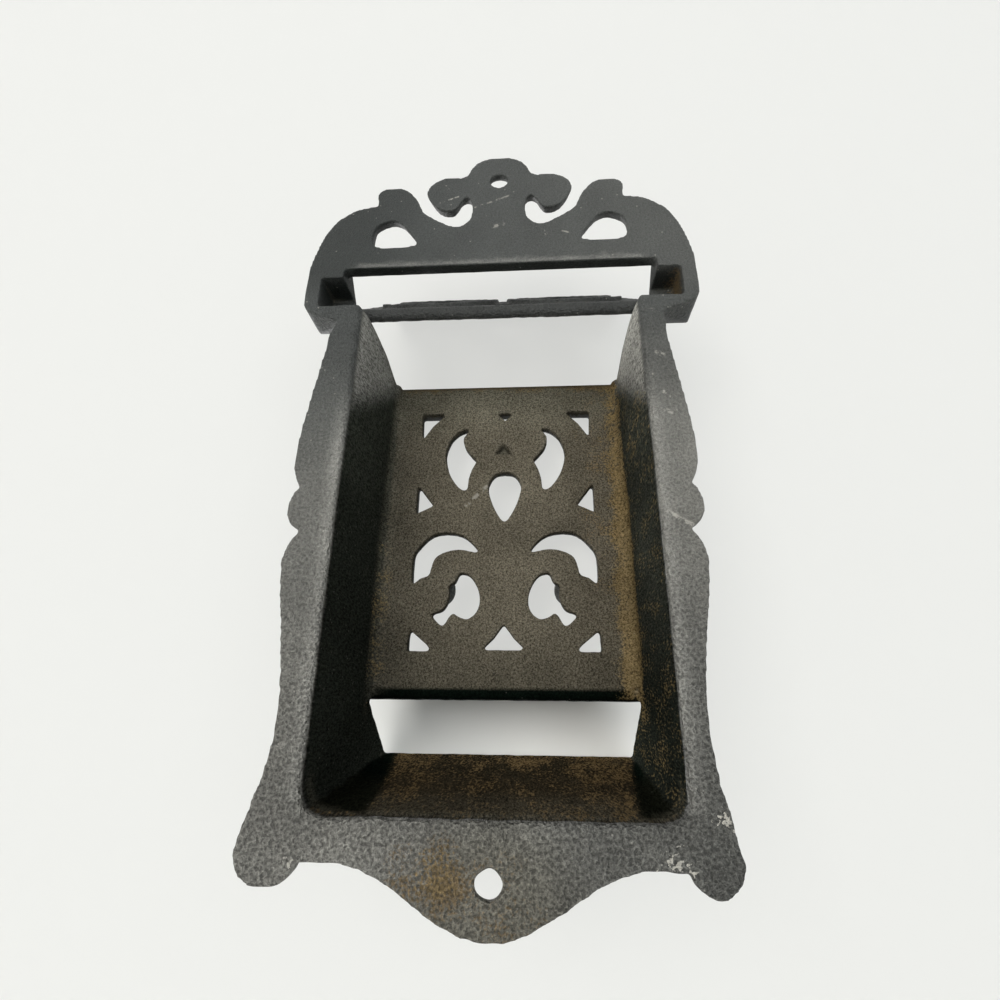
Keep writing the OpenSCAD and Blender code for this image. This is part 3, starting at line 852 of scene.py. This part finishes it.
# %% Colours
CREST_BLACK = (0.056, 0.060, 0.058, 1)
RAIL_GREY = (0.225, 0.221, 0.200, 1)
PANEL_BROWN = (0.131, 0.116, 0.086, 1)
TRAY_BROWN = (0.046, 0.036, 0.022, 1)
CHEEK_BLACK = (0.053, 0.057, 0.046, 1)
RIM_GREY = (0.400, 0.394, 0.362, 1)
# Painted shade: a near black laid where shade falls inside the box and under the hinge bar.
SHADE_BLACK = (0.004, 0.007, 0.005, 1)
RUST = (0.165, 0.112, 0.052, 1)
OCHRE = (0.215, 0.155, 0.070, 1)
BARE_IRON = (0.22, 0.22, 0.21, 1)
DUST = (0.15, 0.14, 0.105, 1)
CHALK = (0.58, 0.56, 0.50, 1)
LID_BLACK = (0.045, 0.047, 0.045, 1)


def attribute(tree, name):
    """A number kept on the mesh."""
    return node(tree, "ShaderNodeAttribute", attribute_name=name).outputs["Fac"]


def use_group(tree, group, **values):
    """A group placed in a material, with its inputs set or linked; gives its outputs by name."""
    return node(tree, "ShaderNodeGroup", values, node_tree=group).outputs


# %% Tones, wear and dust of a casting
def toned(tree, ground, tones, rusts, depth):
    """The ground colour under each tone where its mask says so, then eaten by each kind of rust."""
    colour = ground
    for mask, tone in tones:
        colour = mixed(tree, attribute(tree, mask), colour, tone)
    for mask, tone in rusts:
        eaten = use_group(tree, rust_group, Likely=attribute(tree, mask), Depth=depth)["Mask"]
        colour = mixed(tree, times(tree, eaten, 0.75), colour, tone)
    return colour


def weathered(tree, colour, mottle, dusty):
    """Bare iron along the edges, in places, and dust in the corners."""
    worn = times(tree, attribute(tree, "wear"), ramp(tree, mottle, 0.38, 0.6))
    colour = mixed(tree, times(tree, worn, 0.25), colour, BARE_IRON)
    return mixed(tree, times(tree, attribute(tree, "dust"), dusty), colour, DUST)


# %% Grain and marks of a casting
def grained(tree, colour, grain, matt):
    """The colour times one shade: clouds, sand and pits, with more contrast where the paint is matt."""
    cloudy = stretched(tree, grain["Mottle"], 0.3, 0.7, 0.8, 1.2)
    contrast = stretched(tree, matt, 0, 1, 0.32, 0.7)
    sandy = plus(tree, times(tree, stretched(tree, grain["Grain"], 0, 1, -1, 1), contrast), 1.0)
    peaks = stretched(tree, grain["Peaks"], 0, 1, 1.0, 1.4)
    pitted = calc(tree, "SUBTRACT", peaks, times(tree, grain["Pits"], 0.4))
    shade = times(tree, times(tree, cloudy, sandy), pitted)
    return mixed(tree, 1.0, colour, shade, "MULTIPLY")


def marked(tree, colour, matt, scratches, flakes):
    """Chalky specks, fainter where the paint is matt, then scratches and flaked places."""
    specks = use_group(tree, speck_group, Amount=0.02)["Mask"]
    colour = mixed(tree, times(tree, specks, stretched(tree, matt, 0, 1, 0.4, 0.14)), colour, CHALK)
    for start, end, width, strength in scratches:
        line = use_group(tree, scratch_group, Start=start, End=end, Width=width * MM)["Mask"]
        colour = mixed(tree, times(tree, line, strength), colour, CHALK)
    for middle, radius in flakes:
        chip = use_group(tree, flake_group, Middle=middle, Radius=radius * MM)["Mask"]
        colour = mixed(tree, chip, colour, CHALK)
    return colour


# %% Painting a casting
def iron(name, ground, tones, coarse, dusty, shine, scratches=(), flakes=(), rusts=()):
    """Blackened cast iron: a ground colour with tones and rust by mask, wear, dust, grain and marks.

    coarse is the grain's size, or None where the mesh keeps it.
    """
    material = bpy.data.materials.new(name)
    material.use_nodes = True
    tree = material.node_tree
    shader = tree.nodes["Principled BSDF"]
    matt = attribute(tree, "matt")
    depth = stretched(tree, matt, 0, 1, 1.0, 0.35)
    if coarse is None:
        coarse = attribute(tree, "coarse")
    grain = use_group(tree, grain_group, Coarse=coarse, Depth=depth)
    colour = toned(tree, ground, tones, rusts, depth)
    colour = weathered(tree, colour, grain["Mottle"], dusty)
    colour = grained(tree, colour, grain, matt)
    colour = marked(tree, colour, matt, scratches, flakes)
    tree.links.new(colour, shader.inputs["Base Color"])
    gloss = stretched(tree, grain["Mottle"], 0.3, 0.7, 0.46, 0.64)
    gloss = plus(tree, gloss, times(tree, matt, 0.34))
    tree.links.new(gloss, shader.inputs["Roughness"])
    shader.inputs["Specular IOR Level"].default_value = shine
    bump = node(tree, "ShaderNodeBump", {"Height": grain["Height"], "Strength": 0.9, "Distance": 0.7 * MM})
    tree.links.new(bump.outputs[0], shader.inputs["Normal"])
    print(name, "has", len(tree.nodes), "nodes")
    return material


# %% Scratches and flaked places
def box_place(x, y, height):
    """A place given in millimetres across, from the wall, and above the box's floor."""
    return (x * MM, y * MM, FLOOR_Z + height * MM)


BACK = 0
# Across and up at both ends, width and strength, all on the flat back
back_scratches = [
    (-15, 139, -10.5, 141, 0.35, 0.5),
    (-6, 137, 2.5, 140.5, 0.4, 0.4),
    (-1.2, 130.3, 1.2, 131, 0.8, 0.45),
    (11, 128.6, 12, 127, 0.5, 0.5),
    (16, 128, 17.2, 127.4, 0.4, 0.45),
    (34.9, 103.1, 35.8, 103.2, 0.5, 0.5),
    (35.6, 91.5, 36.9, 90.8, 0.7, 0.5),
    (33.9, 86.2, 34.6, 85.7, 0.5, 0.45),
    (36.2, 81.2, 37.3, 80.4, 0.7, 0.5),
    (36.2, 76.9, 37.3, 76.3, 0.7, 0.5),
    (34.5, 54, 40, 50.5, 0.7, 0.65),
]
scratches = [(box_place(a, BACK, b), box_place(c, BACK, d), width, strength)
             for a, b, c, d, width, strength in back_scratches]
scratches.append((box_place(-10.5, PANEL_Y, 69.5), box_place(-5, PANEL_Y, 75), 0.8, 0.4))
flakes = [
    (box_place(30, BACK, -6), 5.0),
    (box_place(38.3, BACK, 1), 3.2),
    (box_place(-33, BACK, -6.5), 2.0),
]
print(len(scratches), "scratches and", len(flakes), "flaked places")

# %% Materials of the holder and the lid
# Of these tones the near black is painted shade; the grey, the dust and the rim tones carry painted light
# beside real wear and dust.
holder_tones = [("pale", RAIL_GREY), ("panel", PANEL_BROWN), ("tray", TRAY_BROWN), ("cheek", CHEEK_BLACK),
                ("painted_shade", SHADE_BLACK), ("dust_and_painted_light", DUST), ("rim", RIM_GREY)]
holder_rusts = [("rust", RUST), ("ochre", OCHRE)]
for name, shine in (("blackened_iron", 0.25), ("matt_iron", 0.0)):
    paint = iron(name, CREST_BLACK, holder_tones, None, 0.5, shine, scratches, flakes, holder_rusts)
    holder_skin.data.materials.append(paint)
holder_skin.data.polygons.foreach_set("material_index", matt_faces.astype(np.int32))
lid_skin.data.materials.append(iron("lid_iron", LID_BLACK, [], 0.3, 0.6, 0.28))

# %% [markdown]
# ## The stage
# The photograph was taken from behind, with the holder lying on its face on a white table. Here it hangs
# upright, so the table becomes a pale sheet that leans against the tray and the lid. The sheet casts no
# shadow, and it shows from behind the holder alone, so the front can be looked at too. Behind the mouth
# over the tray it has no glow of its own, so the shadow there stays deep.

# %% Sheet and floor
def seen_directly(tree):
    """1 for rays from the camera, from a mirror or through glass, and 0 for rays that carry light."""
    rays = node(tree, "ShaderNodeLightPath").outputs
    seen = calc(tree, "MAXIMUM", rays["Is Camera Ray"], rays["Is Glossy Ray"])
    return calc(tree, "MAXIMUM", seen, rays["Is Transmission Ray"])


def stage_plane(name, corners, one_sided, shaded=None):
    """A flat stage piece, pale to the camera and to reflections, that still takes the object's shadow.

    Round the point shaded, within 5 cm across and 2 cm up, it is left with the lamps' light alone.
    """
    mesh = bpy.data.meshes.new(name)
    mesh.from_pydata(corners, [], [(0, 1, 2, 3)])
    piece = bpy.data.objects.new(name, mesh)
    bpy.context.collection.objects.link(piece)
    material = bpy.data.materials.new(name)
    material.use_nodes = True
    tree = material.node_tree
    tree.nodes.clear()
    looks = seen_directly(tree)
    paper = node(tree, "ShaderNodeBsdfDiffuse", {"Color": PAPER})
    light = node(tree, "ShaderNodeEmission", {"Color": PAPER, "Strength": 1.0})
    share = times(tree, looks, GLOW)
    # Painted shadow: round the mouth the glow is taken away, so the sheet renders darker there.
    if shaded:
        reach = vector(tree, "SUBTRACT", object_place(tree), shaded)
        far = vector(tree, "LENGTH", vector(tree, "MULTIPLY", reach, (1.0, 0.0, 2.5)), (0, 0, 0), "Value")
        share = times(tree, share, ramp(tree, far, 0.03, 0.05))
    shown = node(tree, "ShaderNodeMixShader", {0: share, 1: paper.outputs[0], 2: light.outputs[0]}).outputs[0]
    if one_sided:
        clear = node(tree, "ShaderNodeBsdfTransparent")
        behind = node(tree, "ShaderNodeNewGeometry").outputs["Backfacing"]
        shown = node(tree, "ShaderNodeMixShader", {0: behind, 1: shown, 2: clear.outputs[0]}).outputs[0]
    out = node(tree, "ShaderNodeOutputMaterial")
    tree.links.new(shown, out.inputs["Surface"])
    mesh.materials.append(material)
    return piece


def sheet_corner(x, z):
    """A corner of the sheet, which leans back towards the crest."""
    return (x, sheet_foot - (z - tray_low.z) * math.tan(sheet_lean), z)


# %% The stage's two pieces
PAPER, GLOW = (0.845, 0.85, 0.825, 1), 0.68
GROUND, FLOOR_HALF, SHEET_HALF, SHEET_TOP = -0.14, 2, 1.2, 0.36
sheet_lean = math.radians(9)
sheet_foot = tray_high.y + 5 * MM
mouth = (0, sheet_foot, FLOOR_Z + 10 * MM)
turns = ((-1, 0), (1, 0), (1, 1), (-1, 1))
sheet_corners = [sheet_corner(side * SHEET_HALF, SHEET_TOP if top else GROUND) for side, top in turns]
table_sheet = stage_plane("table_sheet", sheet_corners, True, mouth)
table_sheet.visible_shadow = False
floor_corners = [(u * FLOOR_HALF, v * FLOOR_HALF, GROUND) for u, v in ((-1, -1), (1, -1), (1, 1), (-1, 1))]
stage_plane("floor", floor_corners, False)
print("the sheet leans by", round(math.degrees(sheet_lean)), "degrees")

# %% [markdown]
# ## Light and camera
# Large soft lamps stand behind the camera, as daylight from a window does. The camera's place and lens were
# fitted to the flat back of the holder, so that its edges fall where the photograph has them.

# %% World and lamps
world = bpy.data.worlds.new("studio")
bpy.context.scene.world = world
world.use_nodes = True
tree = world.node_tree
soft = tree.nodes["Background"]
soft.inputs["Color"].default_value = (0.95, 0.97, 1.0, 1)
soft.inputs["Strength"].default_value = 0.22
pale = node(tree, "ShaderNodeBackground", {"Color": (0.85, 0.86, 0.85, 1), "Strength": 1.0})
sky = node(tree, "ShaderNodeMixShader", {0: seen_directly(tree), 1: soft.outputs[0], 2: pale.outputs[0]})
tree.links.new(sky.outputs[0], tree.nodes["World Output"].inputs["Surface"])


def lamp(name, at, size, power, colour):
    """A square area lamp that looks at the middle of the holder."""
    light = bpy.data.lights.new(name, "AREA")
    light.size = size
    light.energy = power
    light.color = colour
    piece = bpy.data.objects.new(name, light)
    piece.location = at
    piece.rotation_euler = (Vector((0, 0.02, 0)) - Vector(at)).to_track_quat("-Z", "Y").to_euler()
    bpy.context.collection.objects.link(piece)


lamp("window", (-0.35, -1.0, 0.14), 0.6, 7.0, (1, 0.98, 0.95))
lamp("room", (0.45, -0.95, 0.08), 0.6, 3.2, (0.93, 0.97, 1))
lamp("front", (-0.5, 0.9, 0.2), 0.6, 9, (1, 1, 1))
print(len(bpy.data.lights), "lamps")

# %% Camera
EYE = (7.87, -102.15, 18.27)
YAW, PITCH, ROLL = -0.0654, 0.3608, 0.0111
FOCAL, SENSOR, FRAME = 540, 36, 1000
forward = Vector((math.sin(YAW) * math.cos(PITCH), math.cos(YAW) * math.cos(PITCH), math.sin(PITCH)))
right = Vector((math.cos(YAW), -math.sin(YAW), 0))
up = right.cross(forward)
right, up = right * math.cos(ROLL) + up * math.sin(ROLL), up * math.cos(ROLL) - right * math.sin(ROLL)
camera_data = bpy.data.cameras.new("camera")
camera_data.sensor_width = SENSOR
camera_data.lens = FOCAL / FRAME * SENSOR
camera_data.clip_start = 0.005
camera = bpy.data.objects.new("camera", camera_data)
turn = Matrix((right, up, -forward)).transposed().to_4x4()
camera.matrix_world = Matrix.Translation(box_place(*EYE)) @ turn
bpy.context.collection.objects.link(camera)
bpy.context.scene.camera = camera
bpy.context.scene.view_settings.view_transform = "Standard"
print("lens of", round(camera_data.lens, 1), "mm")
